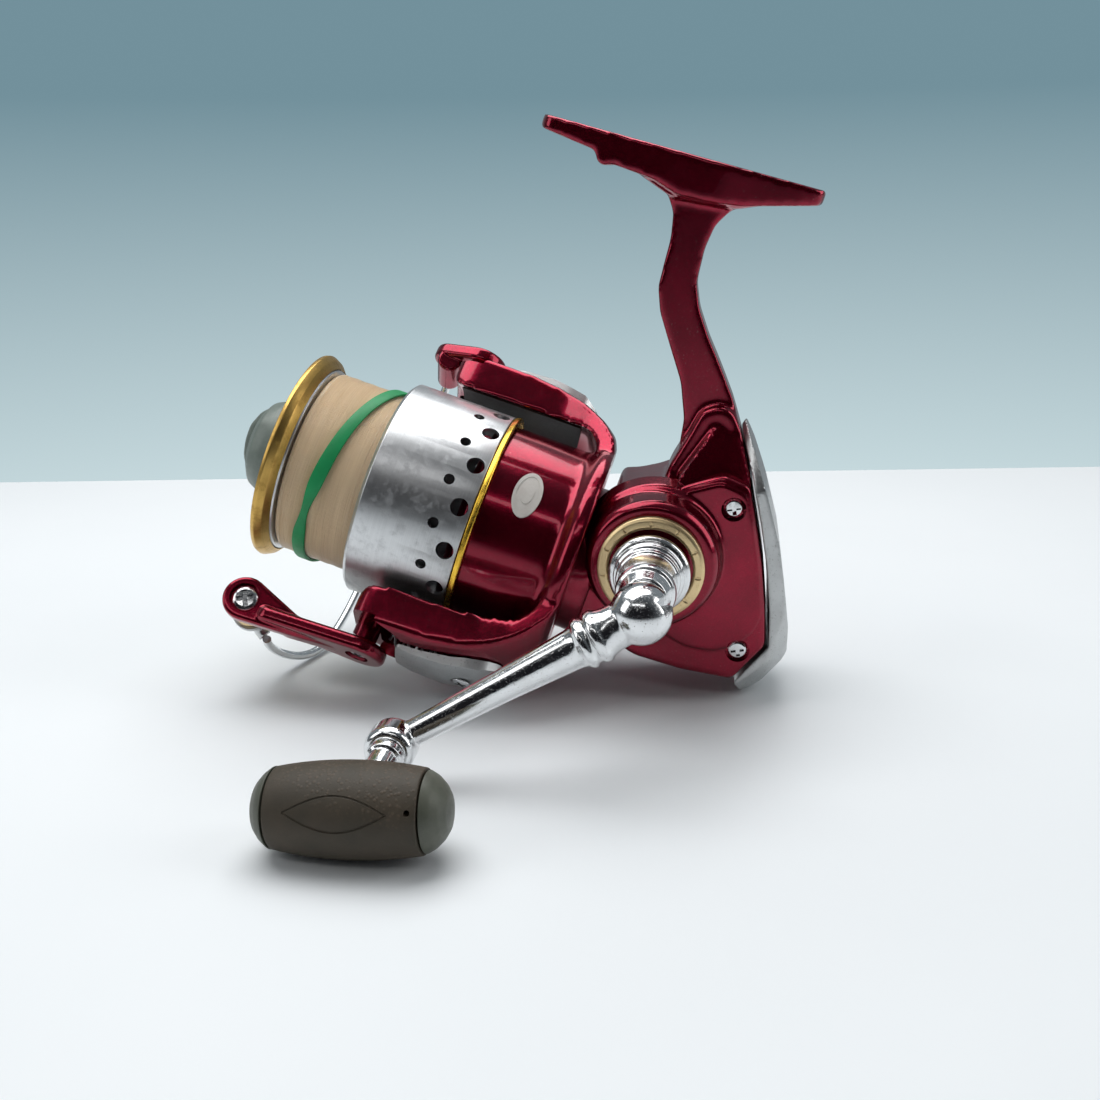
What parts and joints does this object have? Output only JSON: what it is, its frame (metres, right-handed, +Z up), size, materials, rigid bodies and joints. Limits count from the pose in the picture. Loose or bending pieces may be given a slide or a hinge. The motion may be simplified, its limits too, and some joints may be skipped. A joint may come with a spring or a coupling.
{
  "type": "spinning fishing reel",
  "caption": "Front-drag spinning reel with a rod foot on a curved stem, perforated spool skirt, folding crank handle and an open wire bail.",
  "frame": {"origin": "centre of the bounding box at table level", "axes": "+Z up from the table that the reel lies on; +X from the spool towards the rear of the body; the handle is on the -Y side"},
  "size_m": [0.135, 0.14, 0.1301],
  "materials": {
    "candy_red": "candy metallic crimson lacquer",
    "satin_silver": "brushed satin",
    "chrome": "polished, lightly pitted",
    "gold_anodised": "gold anodised",
    "steel": "turned",
    "brass": "machined",
    "grey_plastic": "satin grey-green",
    "white_plastic": "moulded",
    "grip_rubber": "matt textured",
    "green_rubber": "smooth",
    "felt": "oiled felt",
    "line": "tan monofilament"
  },
  "bodies": {
    "frame": {"body_with_foot": "candy_red", "side_plate": "candy_red", "side_plate_screw_upper": "chrome", "side_plate_screw_lower": "chrome", "hub_index_ring": "gold_anodised", "rear_cover": "satin_silver", "drive_bearing_near": "steel", "drive_bearing_far": "steel", "pinion_bearing": "steel", "one_way_clutch": "steel", "oscillation_post": "steel"},
    "drive": {"drive_shaft": "steel", "drive_gear": "brass", "handle_collar": "chrome", "handle_pin": "steel", "handle_cap": "candy_red"},
    "handle": {"handle_arm": "chrome", "knob_shaft": "chrome"},
    "knob": {"knob_core": "grey_plastic", "knob_grip": "grip_rubber"},
    "rotor": {"rotor": "candy_red", "pinion_gear": "brass", "rotor_nut": "steel", "arm_cover_upper": "satin_silver", "arm_cover_lower": "satin_silver", "arm_cover_screw_upper": "chrome", "arm_cover_screw_lower": "chrome", "rotor_badge": "satin_silver", "bail_spring": "steel"},
    "bail": {"roller_lever": "candy_red", "wire_lever": "candy_red", "bail_pivot_screw_upper": "chrome", "bail_pivot_screw_lower": "chrome", "roller_cone": "satin_silver", "bail_wire": "chrome", "roller_screw": "chrome"},
    "line_roller": {"line_roller": "gold_anodised"},
    "shaft": {"main_shaft": "steel", "oscillation_slider": "brass"},
    "spool": {"spool": "satin_silver", "lip_ring": "gold_anodised", "skirt_ring": "gold_anodised", "line_winding": "line", "rubber_band": "green_rubber", "drag_washer_1": "felt", "drag_washer_2": "felt", "drag_washer_3": "felt", "drag_clip": "steel"},
    "drag_knob": {"drag_knob": "grey_plastic"},
    "oscillation_gear": {"oscillation_gear": "white_plastic"}
  },
  "joints": [
    {"name": "handle_spin", "type": "hinge", "parent": "frame", "child": "drive", "pos_m": [0.03307, 0.00471, 0.03572], "axis": [0, 1, 0.002], "continuous": true},
    {"name": "handle_fold", "type": "hinge", "parent": "drive", "child": "handle", "pos_m": [0.03307, -0.02629, 0.03566], "axis": [-0.4782, -0.0018, 0.8782], "range_deg": [0, 60]},
    {"name": "knob_spin", "type": "hinge", "parent": "handle", "child": "knob", "pos_m": [-0.01579, -0.06124, 0.00898], "axis": [0, 1, 0.002], "continuous": true},
    {"name": "rotor_spin", "type": "hinge", "parent": "frame", "child": "rotor", "pos_m": [0.00096, 0.02471, 0.0346], "axis": [0.9461, 0.0007, -0.324], "continuous": true},
    {"name": "bail_flip", "type": "hinge", "parent": "rotor", "child": "bail", "pos_m": [-0.02345, 0.02469, 0.04296], "axis": [0.2436, 0.6579, 0.7126], "range_deg": [0, 95]},
    {"name": "line_roller_spin", "type": "hinge", "parent": "bail", "child": "line_roller", "pos_m": [-0.06142, 0.00419, 0.02154], "axis": [-0.2137, 0.7531, -0.6223], "continuous": true},
    {"name": "spool_stroke", "type": "slide", "parent": "frame", "child": "shaft", "axis": [0.9461, 0.0007, -0.324], "range_m": [0, 0.017]},
    {"name": "spool_drag", "type": "hinge", "parent": "shaft", "child": "spool", "pos_m": [-0.04256, 0.02468, 0.04951], "axis": [0.9461, 0.0007, -0.324], "continuous": true},
    {"name": "drag_knob_turn", "type": "hinge", "parent": "shaft", "child": "drag_knob", "pos_m": [-0.0577, 0.02467, 0.05469], "axis": [0.9461, 0.0007, -0.324], "range_deg": [-540, 540]},
    {"name": "oscillation_spin", "type": "hinge", "parent": "frame", "child": "oscillation_gear", "pos_m": [0.04489, 0.03122, 0.03172], "axis": [0, 1, 0.002], "continuous": true}
  ],
  "couplings": [
    {"joint": "rotor_spin", "follows": "handle_spin", "ratio": -5.2},
    {"joint": "oscillation_spin", "follows": "handle_spin", "ratio": -0.8333}
  ]
}
